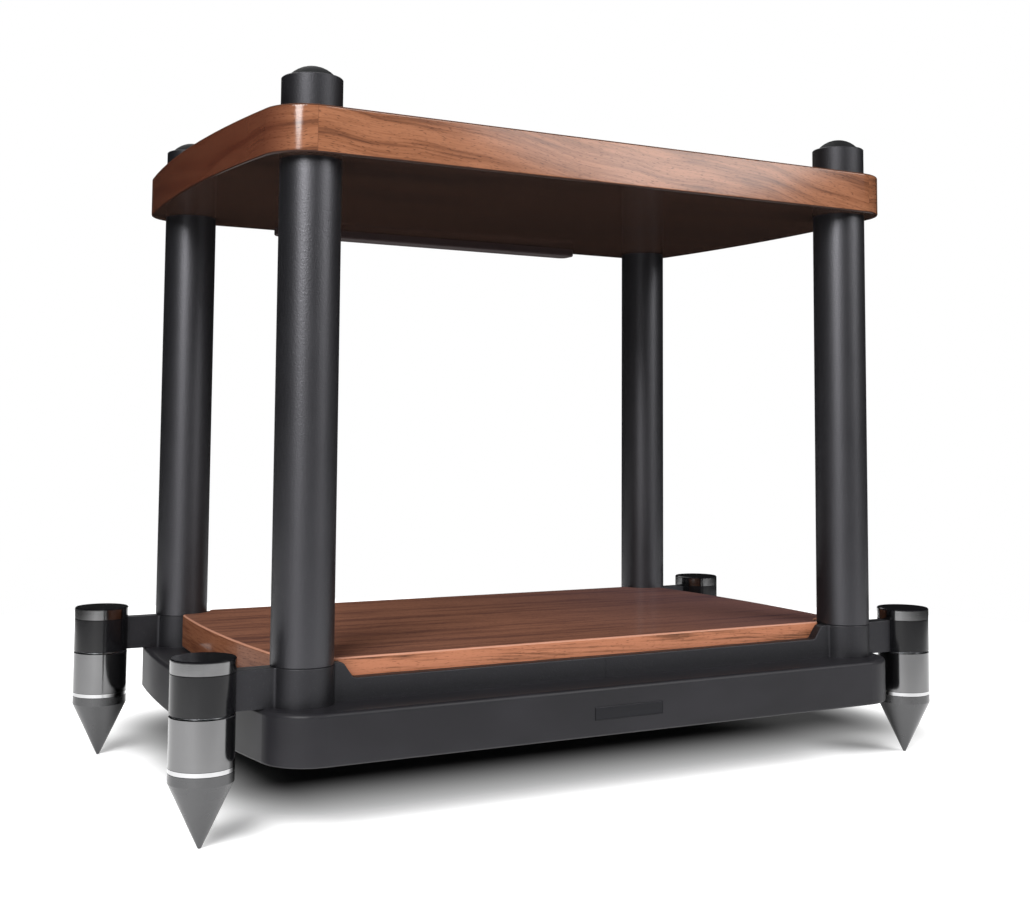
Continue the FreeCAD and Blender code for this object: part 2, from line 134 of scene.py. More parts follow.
class StandColours(bpy.types.PropertyGroup):
    """Colours of the finishes."""

    walnut_light: colour_property("Walnut light", "Light wood between the grain", (0.254, 0.107, 0.056))
    walnut_mid: colour_property("Walnut mid", "Body colour of the walnut", (0.178, 0.0705, 0.035))
    walnut_dark: colour_property("Walnut dark", "Dark bands of the grain", (0.076, 0.031, 0.018))
    walnut_pore: colour_property("Walnut pores", "Fine pores and the veneer's joints", (0.030, 0.013, 0.009))
    # Painted shade: a darker, redder brown on the boards' ends.
    walnut_end_shade: colour_property("Walnut ends", "Redder veneer on the boards' ends", (0.056, 0.0138, 0.0078))
    walnut_band: colour_property("Walnut band", "Lighter edge of the lower board", (0.385, 0.153, 0.084))
    # Painted highlight along the lower board's rim.
    walnut_rim_highlight: colour_property("Walnut rim", "Pale rim of the lower board", (0.450, 0.220, 0.145))
    # Painted shade with a grey painted sheen on the lower board's faces.
    walnut_face_shade: colour_property("Walnut face", "Duller faces of the lower board", (0.066, 0.044, 0.058))
    # Painted shade on the boards' undersides.
    walnut_under_shade: colour_property("Walnut backing", "Dark veneer under the boards", (0.0108, 0.0086, 0.0084))
    powder_coat: colour_property("Powder coat", "Black of tubes and castings", (0.004, 0.004, 0.0048))
    powder_fleck: colour_property("Powder fleck", "Lighter flecks in the coat", (0.012, 0.0125, 0.014))
    bar_coat: colour_property("Bar coat", "Brown-black of the stiffener bar", (0.038, 0.0245, 0.0235))
    plinth_paint: colour_property("Plinth paint", "Satin black of the plinth", (0.0098, 0.0094, 0.0112))
    gloss_black: colour_property("Gloss black", "Lacquered sleeves and lock caps", (0.003, 0.003, 0.0035))
    gunmetal: colour_property("Gunmetal", "Polished foot bodies", (0.168, 0.168, 0.170))
    spike_grey: colour_property("Spike grey", "Spike cones", (0.103, 0.103, 0.105))
    lock_grey: colour_property("Lock ring grey", "Lock rings above the eyes", (0.198, 0.198, 0.200))
    bright_chrome: colour_property("Bright chrome", "Trim rings on the feet", (0.500, 0.500, 0.506))
    black_rubber: colour_property("Black rubber", "Cap domes and board pads", (0.013, 0.013, 0.0135))
    zinc_steel: colour_property("Zinc steel", "Rods, nuts, washers, screws and studs", (0.500, 0.510, 0.530))
    white_nylon: colour_property("White nylon", "Bushes in the tube ends", (0.700, 0.690, 0.650))
    plate_metal: colour_property("Plate metal", "Bare plate on the plinth", (0.030, 0.030, 0.033))


class StandStudio(bpy.types.PropertyGroup):
    """Camera, lamps and floor."""

    camera_place: place_property("Camera place", "Where the camera stands", (-0.53248, -0.97996, 0.24873))
    camera_yaw: angle_property("Camera yaw", "Turn of the view to the right of the stand's depth", 28.7447)
    camera_pitch: angle_property("Camera pitch", "Rise of the view", 4.2881)
    camera_roll: angle_property("Camera roll", "Tilt of the camera about its view", 0.3891)
    camera_lens: FloatProperty(name="Camera lens", description="Focal length in millimetres", default=48.554,
                               min=1.0, subtype="DISTANCE_CAMERA", unit="CAMERA")
    camera_shift: FloatProperty(name="Camera shift", description="Rise of the picture in picture widths",
                                default=-0.11917)
    aim: place_property("Lamps aim", "Point that the lamps face", (0.0, 0.0, 0.25))
    top_place: place_property("Top place", "Middle of the wide lamp above the stand", (0.0, 0.90, 2.60))
    top_width: length_property("Top width", "Diameter of the wide lamp above the stand", 2.20)
    top_power: power_property("Top power", "Power of the wide lamp above the stand", 20.0)
    left_place: place_property("Left place", "Middle of the front left lamp", (-1.42, -1.36, 1.35))
    left_width: length_property("Left width", "Diameter of the front left lamp", 1.15)
    left_power: power_property("Left power", "Power of the front left lamp", 63.0)
    right_place: place_property("Right place", "Middle of the front right lamp", (1.260, -1.80, 1.575))
    right_width: length_property("Right width", "Diameter of the front right lamp", 1.70)
    right_power: power_property("Right power", "Power of the front right lamp", 50.0)
    back_place: place_property("Back place", "Middle of the lamp behind the stand", (0.20, 2.30, 2.20))
    back_width: length_property("Back width", "Diameter of the lamp behind the stand", 1.70)
    back_power: power_property("Back power", "Power of the lamp behind the stand", 16.0)
    strip_width: length_property("Strip width", "Width of the upright strip below each front lamp", 0.40)
    strip_height: length_property("Strip height", "Height of the upright strip below each front lamp", 0.90)
    strip_power: share_property("Strip power", "Power of a strip as a share of the lamp above it", 0.04)
    surround: share_property("Surround", "Brightness of the dim room round the lamps", 0.01)
    floor_radius: length_property("Floor radius", "Radius of the white floor", 1.05)
    floor_paper: colour_property("Floor paper", "White paper of the floor", (0.93, 0.93, 0.93))
    floor_glow: share_property("Floor glow", "Glow of the floor outside the stand's own shade", 0.60)
    glow_front: length_property("Glow front", "How far in front of the stand's middle the glow ends", 0.60)
    glow_fade: length_property("Glow fade", "Depth over which the glow fades at the front", 0.30)
    shade_place: floor_property("Shade place", "Middle of the shade under the stand", (0.0625, 0.0925))
    shade_half: floor_property("Shade half", "Half the length and depth of the full shade", (0.2475, 0.0925))
    shade_soft: floor_property("Shade soft", "Width of the shade's soft border", (0.095, 0.150))
    shade_tone: share_property("Shade tone", "Brightness of the paper in full shade", 0.08)
    tip_place: floor_property("Tip place", "A spike's shade, from the middle of the four", (0.270, 0.1395))
    tip_back: length_property("Tip back", "How far the spikes' shades lie behind the tips", 0.022)
    tip_reach: length_property("Tip reach", "Radius of a spike's shade", 0.060)
    tip_glow: share_property("Tip glow", "Glow that is left in the middle of a spike's shade", 0.25)


class Value:
    """A number that varies over a surface. Arithmetic on it adds the Math nodes that work it out."""

    def __init__(self, finish, socket):
        self.finish = finish
        self.socket = socket

    def __add__(self, other):
        return self.finish.math("ADD", self, other)

    __radd__ = __add__

    def __sub__(self, other):
        return self.finish.math("SUBTRACT", self, other)

    def __rsub__(self, other):
        return self.finish.math("SUBTRACT", other, self)

    def __mul__(self, other):
        return self.finish.math("MULTIPLY", self, other)

    __rmul__ = __mul__

    def __truediv__(self, other):
        return self.finish.math("DIVIDE", self, other)

    def __neg__(self):
        return self * -1.0

    def __abs__(self):
        return self.finish.math("ABSOLUTE", self)

    def output(self, key):
        """Another output of the same node."""
        return Value(self.finish, self.socket.node.outputs[key])


class Finish:
    """The shading of a material or of the room, with a method for each kind of node that is used."""

    def __init__(self, owner):
        owner.use_nodes = True
        self.owner = owner
        self.tree = owner.node_tree
        self.tree.nodes.clear()
        self.axes = None

    def add(self, kind, settings, sockets, output=0):
        """A node of any kind: its settings first, then a number, colour or link for each named socket."""
        node = self.tree.nodes.new(kind)
        for key, value in settings.items():
            if key == "stops":
                self.set_stops(node.color_ramp, value)
            else:
                setattr(node, key, value)
        for key, value in sockets.items():
            if isinstance(value, Value):
                self.tree.links.new(value.socket, node.inputs[key])
            else:
                node.inputs[key].default_value = value
        return Value(self, node.outputs[output]) if node.outputs else None

    @staticmethod
    def set_stops(ramp, stops):
        """Give a colour ramp its stops, from left to right."""
        while len(ramp.elements) < len(stops):
            ramp.elements.new(1.0)
        for element, (position, colour) in zip(ramp.elements, stops):
            element.position = position
            element.color = colour

    def math(self, operation, *values):
        """The result of one sum on numbers and values."""
        return self.add("ShaderNodeMath", {"operation": operation}, dict(enumerate(values)))

    def length(self, first, second):
        """The length of a flat arrow from its two sides."""
        return self.math("SQRT", first * first + second * second)

    def place(self):
        """The surface point's x, y and z in the stand's frame, in metres."""
        if self.axes is None:
            point = self.add("ShaderNodeTexCoord", {}, {}, "Object")
            x = self.add("ShaderNodeSeparateXYZ", {}, {"Vector": point}, "X")
            self.axes = x, x.output("Y"), x.output("Z")
        return self.axes

    def vector(self, x, y, z):
        """A point from its three coordinates."""
        return self.add("ShaderNodeCombineXYZ", {}, {"X": x, "Y": y, "Z": z}, "Vector")

    def noise(self, vector, detail=2.0, roughness=0.5):
        """Noise from 0 to 1 with features about one unit of the vector across."""
        sockets = {"Vector": vector, "Scale": 1.0, "Detail": detail, "Roughness": roughness}
        return self.add("ShaderNodeTexNoise", {}, sockets)

    def texture(self, level, upright, detail=2.0, roughness=0.5):
        """Noise with so many features in a metre along the level and along the upright."""
        x, y, z = self.place()
        return self.noise(self.vector(x * level, y * level, z * upright), detail, roughness)

    def rise(self, value, start, end):
        """A mask that rises smoothly from 0 at start to 1 at end."""
        sockets = {"Value": value, "From Min": start, "From Max": end}
        return self.add("ShaderNodeMapRange", {"interpolation_type": "SMOOTHSTEP"}, sockets, "Result")

    def mix(self, factor, first, second):
        """A colour between two colours."""
        sockets = {MIX_FACTOR: factor, MIX_FIRST: first, MIX_SECOND: second}
        return self.add("ShaderNodeMix", {"data_type": "RGBA"}, sockets, MIX_RESULT)

    def ramp(self, value, *stops):
        """A colour that follows a value through stops."""
        return self.add("ShaderNodeValToRGB", {"stops": stops}, {"Fac": value}, "Color")

    def bump(self, height, strength, distance):
        """A normal that follows a height field; distance is the height of a full step in metres."""
        sockets = {"Height": height, "Strength": strength, "Distance": distance}
        return self.add("ShaderNodeBump", {}, sockets, "Normal")

    def surface(self, **sockets):
        """Close the material with a Principled shader; underscores in the names stand for spaces."""
        named = {name.replace("_", " "): value for name, value in sockets.items()}
        shader = self.add("ShaderNodeBsdfPrincipled", {}, named, "BSDF")
        self.add("ShaderNodeOutputMaterial", {}, {"Surface": shader})
        return self.owner


def new_finish(name):
    """A new material's finish, still without nodes."""
    return Finish(bpy.data.materials.new(name))


def toned(colour, factor):
    """A colour made darker or lighter by a factor."""
    return (*(factor * part for part in colour[:3]), 1.0)


class BoardZones:
    """Where a point lies on a veneered board: its place on the sheet of veneer, and masks from 0 to 1."""

    def __init__(self, finish, node, sizes):
        low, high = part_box(node)
        half_width, half_thick = (high.x - low.x) / 2, (high.z - low.z) / 2
        seam_at = half_width - sizes.veneer_seam
        x, y, z = finish.place()
        height = z - (low.z + high.z) / 2
        reach, level = abs(x), abs(height)

        self.on_face = finish.rise(level, half_thick - sizes.board_rim, half_thick - 0.9 * sizes.board_rim)
        on_edge = 1.0 - self.on_face
        self.end = finish.rise(reach, seam_at, seam_at + 0.2 * MM) * on_edge
        self.band = on_edge * (1.0 - self.end)
        # Painted shade on the edges near each end.
        self.shaded_end = finish.rise(reach, half_width - 30.0 * MM, half_width - 4.0 * MM) * on_edge
        # Painted shade on the faces deepens towards the right end.
        self.shade_to_right = finish.rise(x, -50.0 * MM, 220.0 * MM)
        # Painted shade on the undersides.
        self.below = self.on_face * finish.rise(-height, 0.0, half_thick)
        self.under_rim = finish.rise(-height, half_thick - 1.8 * MM, half_thick - 1.0 * MM)
        from_seam = abs(reach - (seam_at + 0.1 * MM))
        self.seam = (1.0 - finish.rise(from_seam, 0.2 * MM, 0.5 * MM)) * on_edge
        # The rim line: a dark line on the top board, a painted highlight along the lower board's rim.
        past_rim = finish.rise(level, half_thick - 0.2 * MM, half_thick - 0.1 * MM)
        self.rim = finish.rise(level, half_thick - 1.3 * MM, half_thick - 1.0 * MM) * (1.0 - past_rim)

        # The end's sheet runs on round the corners. Each face and each end is cut from a sheet of its own.
        round_corner = y - 0.7 * (reach - half_width) * finish.math("SIGN", y)
        self.along = x * (1.0 - self.end) + round_corner * self.end
        self.across = height * on_edge + y * self.on_face
        face_sheet = 3.0 + finish.math("SIGN", height)
        end_sheet = 7.0 + 2.0 * finish.math("SIGN", x)
        self.sheet = self.on_face * face_sheet + self.end * end_sheet


def walnut_grain(finish, zones, slope, fineness, leaf_depth):
    """The tone of the grain over a board, and masks of its pores and of its clouds."""
    along, across, sheet = zones.along, zones.across, zones.sheet
    wander = finish.noise(finish.vector(along * 5.0, sheet, 0.3))
    drift = across + along * slope * (1.0 - zones.end) + wander * 0.45 * slope
    figure = finish.noise(finish.vector(along * 6.0, drift * 105.0, sheet), 3.0, 0.55)
    streak = finish.noise(finish.vector(along * 24.0, drift * 600.0, sheet + 4.0), 3.0, 0.6)
    pore = finish.noise(finish.vector(along * 230.0, drift * 1500.0, sheet + 9.0), 1.0)
    cloud = finish.noise(finish.vector(along * 9.0, across * 14.0, sheet + 15.0))
    leaf = finish.noise(finish.vector(along * 1.8, drift * 26.0, sheet + 21.0), 3.0)
    tone = figure * (1.0 - fineness) + streak * fineness + zones.on_face * (leaf - 0.5) * leaf_depth
    return tone, finish.rise(pore, 0.58, 0.72), finish.rise(cloud, 0.42, 0.72)


def walnut(name, node, colours, sizes, rim_line_and_highlight, slope, fineness, leaf_depth,
           band_tint, end_shade, face_shade, edge_gloss, face_gloss):
    """Lacquered walnut veneer: grain along the board on its faces, and along each edge band, with painted
    shade on its ends, faces and undersides.
    """
    finish = new_finish(name)
    zones = BoardZones(finish, node, sizes)
    tone, pores, clouds = walnut_grain(finish, zones, slope, fineness, leaf_depth)
    wood = finish.ramp(tone, (0.35, colours.walnut_dark), (0.46, colours.walnut_mid),
                       (0.56, colours.walnut_light), (0.68, colours.walnut_mid))
    band = zones.band * band_tint
    layers = (
        (clouds * 0.30, colours.walnut_mid),
        (band * finish.rise(tone, 0.37, 0.55), colours.walnut_band),
        (pores * (0.65 - 0.30 * band), colours.walnut_pore),
        # Painted shade and sheen on the faces, deeper to the right.
        (zones.on_face * (face_shade + face_shade * 1.5 * zones.shade_to_right), colours.walnut_face_shade),
        # Painted shade on the ends.
        (zones.shaded_end * end_shade, colours.walnut_end_shade),
        # Painted shade on the undersides.
        (zones.below * 0.90, colours.walnut_under_shade),
        (zones.seam * 0.20, colours.walnut_pore),
        # A dark line on the top board's rim, a painted highlight on the lower board's rim.
        (zones.rim * 0.80, rim_line_and_highlight),
    )
    for mask, colour in layers:
        wood = finish.mix(mask, wood, colour)
    edge_coat = edge_gloss * (1.0 - 0.6 * zones.under_rim) * (1.0 - zones.on_face)
    face_coat = (face_gloss + (0.4 - face_gloss) * zones.under_rim) * zones.on_face
    return finish.surface(
        Base_Color=wood,
        Roughness=0.42 - 0.12 * tone,
        Normal=finish.bump(tone * 0.6 - pores * 0.4 - zones.seam * 0.5, 0.12, 0.12 * MM),
        Specular_IOR_Level=0.0,
        Coat_Weight=(edge_coat + face_coat) * (1.0 - 0.3 * pores),
        Coat_Roughness=0.10,
        Coat_IOR=1.42)


def powder_coat(name, base, fleck_colour, roughness, gloss):
    """Textured powder coat: orange peel, lighter flecks and a satin, matt or dull skin."""
    finish = new_finish(name)
    peel = finish.texture(620.0, 620.0, 2.0, 0.6)
    grit = finish.texture(1100.0, 1100.0, 1.0)
    haze = finish.texture(40.0, 25.0)
    fleck = finish.rise(grit, 0.60, 0.76)
    return finish.surface(
        Base_Color=finish.mix(fleck * 0.8, base, fleck_colour),
        Roughness=roughness + 0.08 * haze,
        Normal=finish.bump(peel * 0.6 + grit * 0.4, 0.45, 0.35 * MM),
        Specular_IOR_Level=gloss,
        Specular_Tint=(0.94, 0.93, 1.0, 1.0))


def plinth_paint(name, colour):
    """Satin black paint on board, with a faint roller texture."""
    finish = new_finish(name)
    roll = finish.texture(420.0, 420.0)
    haze = finish.texture(14.0, 30.0)
    return finish.surface(
        Base_Color=finish.mix(finish.rise(haze, 0.35, 0.7), colour, toned(colour, 1.35)),
        Roughness=0.38 + 0.12 * haze,
        Normal=finish.bump(roll, 0.10, 0.10 * MM),
        Specular_IOR_Level=0.2)


def turned_metal(name, colour, roughness, line_depth):
    """Lathe-turned metal: fine rings round the upright axis."""
    finish = new_finish(name)
    rings = finish.texture(3.0, 2600.0, 2.0, 0.6)
    haze = finish.texture(60.0, 60.0)
    return finish.surface(
        Base_Color=finish.mix(rings * 0.35 + haze * 0.25, colour, toned(colour, 0.82)),
        Metallic=1.0,
        Roughness=roughness * (0.7 + 0.6 * haze),
        Normal=finish.bump(rings, line_depth, 0.05 * MM))


def gloss_black(name, colour):
    """Black lacquer over turned metal."""
    finish = new_finish(name)
    rings = finish.texture(3.0, 1500.0)
    haze = finish.texture(90.0, 90.0)
    return finish.surface(
        Base_Color=finish.mix(haze, colour, toned(colour, 2.0)),
        Roughness=0.14 + 0.08 * haze,
        Normal=finish.bump(rings, 0.05, 0.05 * MM),
        Specular_IOR_Level=0.32)


def rubber(name, colour):
    """Moulded black rubber with a fine matt skin."""
    finish = new_finish(name)
    skin = finish.texture(1800.0, 1800.0)
    bloom = finish.texture(70.0, 70.0)
    return finish.surface(
        Base_Color=finish.mix(finish.rise(bloom, 0.4, 0.75), colour, toned(colour, 1.8)),
        Roughness=0.45 + 0.15 * bloom,
        Normal=finish.bump(skin, 0.15, 0.10 * MM),
        Specular_IOR_Level=0.02)


def zinc_steel(name, colour):
    """Zinc-plated steel with a cloudy passivated skin."""
    finish = new_finish(name)
    cloud = finish.texture(180.0, 180.0, 3.0)
    fine = finish.texture(1400.0, 1400.0, 1.0)
    return finish.surface(
        Base_Color=finish.mix(finish.rise(cloud, 0.35, 0.7), colour, toned(colour, 0.7)),
        Metallic=1.0,
        Roughness=0.26 + 0.14 * cloud,
        Normal=finish.bump(fine, 0.08, 0.05 * MM))


def white_nylon(name, colour):
    """Turned nylon, slightly mottled."""
    finish = new_finish(name)
    mottle = finish.texture(120.0, 400.0)
    return finish.surface(
        Base_Color=finish.mix(mottle, colour, toned(colour, 0.85)),
        Roughness=0.42 + 0.12 * mottle,
        Normal=finish.bump(mottle, 0.10, 0.10 * MM))


def brushed_plate(name, colour):
    """Dark metal brushed along the plate."""
    finish = new_finish(name)
    brush = finish.texture(60.0, 7000.0, 3.0, 0.6)
    return finish.surface(
        Base_Color=finish.mix(brush, colour, toned(colour, 0.6)),
        Metallic=1.0,
        Roughness=0.30 + 0.15 * brush,
        Normal=finish.bump(brush, 0.15, 0.05 * MM))


def floor_paper(name, studio):
    """White paper with a faint fibre, which glows but for the soft shade of the stand and its spikes."""
    finish = new_finish(name)
    x, y, _ = finish.place()
    fibre = finish.texture(900.0, 0.0)
    paper = finish.mix(fibre, studio.floor_paper, toned(studio.floor_paper, 0.98))
    shaded = toned(studio.floor_paper, studio.shade_tone)

    # How far a point lies past the full shade: 0 at its edge and 1 where its soft border ends.
    sides = zip((x, y), studio.shade_place, studio.shade_half, studio.shade_soft)
    past = [finish.math("MAXIMUM", abs(along - middle) - half, 0.0) / soft
            for along, middle, half, soft in sides]
    away = finish.length(*past)

    tip_x, tip_y = studio.tip_place
    from_tip = finish.length(abs(x) - tip_x, abs(y - studio.tip_back) - tip_y)
    tips = studio.tip_glow + (1.0 - studio.tip_glow) * finish.rise(from_tip, 0.0, studio.tip_reach)
    front = finish.rise(y, -studio.glow_front, studio.glow_fade - studio.glow_front)
    lit = finish.rise(away, 0.05, 1.0) * front * tips
    return finish.surface(
        Base_Color=finish.mix(finish.rise(away, 0.4, 1.0), shaded, paper),
        Roughness=0.65 + 0.1 * fibre,
        Specular_IOR_Level=0.1,
        Normal=finish.bump(fibre, 0.05, 0.10 * MM),
        Emission_Color=finish.mix(lit, BLACK, WHITE),
        Emission_Strength=studio.floor_glow)


def corner_nodes(*pieces):
    """The names of corner pieces at all four corners."""
    return [f"{piece}_{corner}" for piece in pieces for corner in CORNERS]


def dress(material, names):
    """Give CAD nodes their finish."""
    for name in names:
        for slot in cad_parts[name].material_slots:
            slot.material = material


def new_object(name, shape, material):
    """Close a modelled shape into an object at the origin."""
    mesh = bpy.data.meshes.new(name)
    shape.to_mesh(mesh)
    shape.free()
    mesh.materials.append(material)
    made = bpy.data.objects.new(name, mesh)
    bpy.context.scene.collection.objects.link(made)
    return made


def finish_piece(name, shape, material, body):
    """Close a modelled shape into a piece that rides on a body of the stand."""
    bmesh.ops.remove_doubles(shape, verts=shape.verts, dist=WELD)
    bmesh.ops.recalc_face_normals(shape, faces=shape.faces)
    piece = new_object(name, shape, material)
    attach(piece, body)
    return piece


class STAND_OT_veneer_boards(bpy.types.Operator):
    """Veneer the top board and the lower board with lacquered walnut"""

    bl_idname = "stand.veneer_boards"
    bl_label = "Veneer the boards"

    def execute(self, context):
        colours, sizes = context.scene.stand_colours, context.scene.stand_sizes
        # Each board sets its painted shade on the ends and faces, and its rim line: dark on the top board, a
        # painted highlight on the lower one.
        top = walnut("walnut_top", "top_board", colours, sizes, colours.walnut_pore,
                     slope=0.11, fineness=0.36, leaf_depth=0.60,
                     band_tint=0.0, end_shade=0.84, face_shade=0.0, edge_gloss=0.95, face_gloss=0.06)
        dress(top, ["top_board"])
        # The lower board's rim gets a painted highlight.
        lower = walnut("walnut_lower", "lower_board", colours, sizes, colours.walnut_rim_highlight,
                       slope=0.03, fineness=0.55, leaf_depth=0.45,
                       band_tint=0.85, end_shade=0.40, face_shade=0.25, edge_gloss=0.25, face_gloss=0.20)
        dress(lower, ["lower_board"])
        return {"FINISHED"}


class STAND_OT_coat_steelwork(bpy.types.Operator):
    """Powder-coat the pillars, their caps, the corner castings and the stiffener bar with its screws"""

    bl_idname = "stand.coat_steelwork"
    bl_label = "Coat the steelwork"

    def execute(self, context):
        colours = context.scene.stand_colours
        black, brown, fleck = colours.powder_coat, colours.bar_coat, colours.powder_fleck
        satin = powder_coat("satin_coat", black, fleck, roughness=0.38, gloss=0.80)
        matt = powder_coat("matt_coat", black, fleck, roughness=0.46, gloss=0.44)
        dull = powder_coat("dull_coat", brown, fleck, roughness=0.60, gloss=0.15)
        dress(satin, corner_nodes("pillar"))
        dress(matt, corner_nodes("pillar_cap", "outrigger"))
        dress(dull, ["stiffener_bar", "stiffener_screws"])
        return {"FINISHED"}


class STAND_OT_paint_plinth(bpy.types.Operator):
    """Paint the plinth satin black"""

    bl_idname = "stand.paint_plinth"
    bl_label = "Paint the plinth"

    def execute(self, context):
        dress(plinth_paint("plinth_paint", context.scene.stand_colours.plinth_paint), ["plinth"])
        return {"FINISHED"}


class STAND_OT_plate_feet(bpy.types.Operator):
    """Finish the feet: polished bodies and locks, bright rings, grey spikes, black sleeves and lock caps"""

    bl_idname = "stand.plate_feet"
    bl_label = "Plate the feet"

    def execute(self, context):
        colours = context.scene.stand_colours
        body = turned_metal("gunmetal", colours.gunmetal, roughness=0.14, line_depth=0.05)
        lock = turned_metal("lock_grey", colours.lock_grey, roughness=0.16, line_depth=0.05)
        spike = turned_metal("spike_grey", colours.spike_grey, roughness=0.26, line_depth=0.10)
        trim = turned_metal("bright_chrome", colours.bright_chrome, roughness=0.08, line_depth=0.03)
        dress(body, corner_nodes("foot_body"))
        dress(lock, corner_nodes("lock_ring"))
        dress(spike, corner_nodes("spike_cone"))
        dress(trim, corner_nodes("trim_ring"))
        dress(gloss_black("gloss_black", colours.gloss_black), corner_nodes("eye_sleeve", "lock_cap"))
        return {"FINISHED"}


class STAND_OT_finish_fasteners(bpy.types.Operator):
    """Finish the rods, nuts, washers, rail screws, bushes, domes and pads"""

    bl_idname = "stand.finish_fasteners"
    bl_label = "Finish the fasteners"

    def execute(self, context):
        colours = context.scene.stand_colours
        steel = ["tie_rods", "base_nuts", "base_washers", "rail_screws"]
        dress(zinc_steel("zinc_steel", colours.zinc_steel), steel + corner_nodes("foot_washer"))
        dress(white_nylon("white_nylon", colours.white_nylon), ["tube_bushes"])
        dress(rubber("black_rubber", colours.black_rubber), ["cap_domes", "board_pads"])
        return {"FINISHED"}


class STAND_OT_cut_threads(bpy.types.Operator):
    """Cut a screw thread on the four foot studs"""

    bl_idname = "stand.cut_threads"
    bl_label = "Cut the stud threads"

    def execute(self, context):
        sizes = context.scene.stand_sizes
        steel = zinc_steel("stud_steel", context.scene.stand_colours.zinc_steel)
        for corner in CORNERS:
            node = f"foot_stud_{corner}"
            shape = self.thread(node, sizes.thread_pitch, sizes.thread_depth, sizes.thread_sides)
            stud = finish_piece(f"threaded_stud_{corner}", shape, steel, f"foot_{corner}")
            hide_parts(node)
        return {"FINISHED"}

    @staticmethod
    def thread(node, pitch, depth, sides):
        """One turn of a thread, repeated along a stud with turns to spare and trimmed flat at both ends."""
        low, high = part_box(node)
        middle = (low + high) / 2
        crest = (high.x - low.x) / 2
        root = crest - depth
        # Each corner of the profile has a radius, and a height in pitches.
        profile = ((root, 0.0), (root, 0.15), (crest, 0.50), (crest, 0.65), (root, 1.0))
        shape = bmesh.new()
        corners = [shape.verts.new((middle.x + radius, middle.y, low.z + pitch * (height - SPARE_TURNS)))
                   for radius, height in profile]
        edges = [shape.edges.new(pair) for pair in zip(corners, corners[1:])]
        bmesh.ops.spin(shape, geom=corners + edges, cent=middle, axis=(0.0, 0.0, 1.0),
                       dvec=(0.0, 0.0, pitch / sides), angle=2.0 * pi, steps=sides)
        turns = 1
        while turns * pitch < high.z - low.z + 2.0 * SPARE_TURNS * pitch:
            copy = bmesh.ops.duplicate(shape, geom=shape.verts[:] + shape.edges[:] + shape.faces[:])
            raised = [item for item in copy["geom"] if isinstance(item, bmesh.types.BMVert)]
            bmesh.ops.translate(shape, verts=raised, vec=(0.0, 0.0, turns * pitch))
            turns *= 2
        bmesh.ops.remove_doubles(shape, verts=shape.verts, dist=10.0 * WELD)
        for z, up in ((low.z, -1.0), (high.z, 1.0)):
            cut = bmesh.ops.bisect_plane(shape, geom=shape.verts[:] + shape.edges[:] + shape.faces[:],
                                         plane_co=(0.0, 0.0, z), plane_no=(0.0, 0.0, up), clear_outer=True)
            rim = [item for item in cut["geom_cut"] if isinstance(item, bmesh.types.BMEdge)]
            bmesh.ops.contextual_create(shape, geom=rim)
        return shape


class STAND_OT_set_plate(bpy.types.Operator):
    """Set a bare plate with a raised rim on the plinth's front"""

    bl_idname = "stand.set_plate"
    bl_label = "Set the plate"

    def execute(self, context):
        sizes = context.scene.stand_sizes
        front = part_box("plinth")[0].y
        middle = (0.0, front - sizes.plate_proud + sizes.plate_depth / 2, sizes.plate_middle)
        size = Matrix.Diagonal((sizes.plate_width, sizes.plate_depth, sizes.plate_height, 1.0))
        shape = bmesh.new()
        bmesh.ops.create_cube(shape, size=1.0, matrix=Matrix.Translation(middle) @ size)
        bmesh.ops.bevel(shape, geom=list(self.front_face(shape).edges), offset=sizes.plate_bevel, segments=2,
                        affect="EDGES", profile=0.5, material=-1)
        field = self.front_face(shape)
        bmesh.ops.inset_region(shape, faces=[field], thickness=sizes.plate_rim, depth=0.0)
        bmesh.ops.inset_region(shape, faces=[field], thickness=sizes.plate_slope, depth=-sizes.plate_recess)
        material = brushed_plate("brushed_plate", context.scene.stand_colours.plate_metal)
        finish_piece("bare_plate", shape, material, STAND)
        return {"FINISHED"}

    @staticmethod
    def front_face(shape):
        """The face that lies furthest to the front."""
        return min(shape.faces, key=lambda face: face.calc_center_median().y)


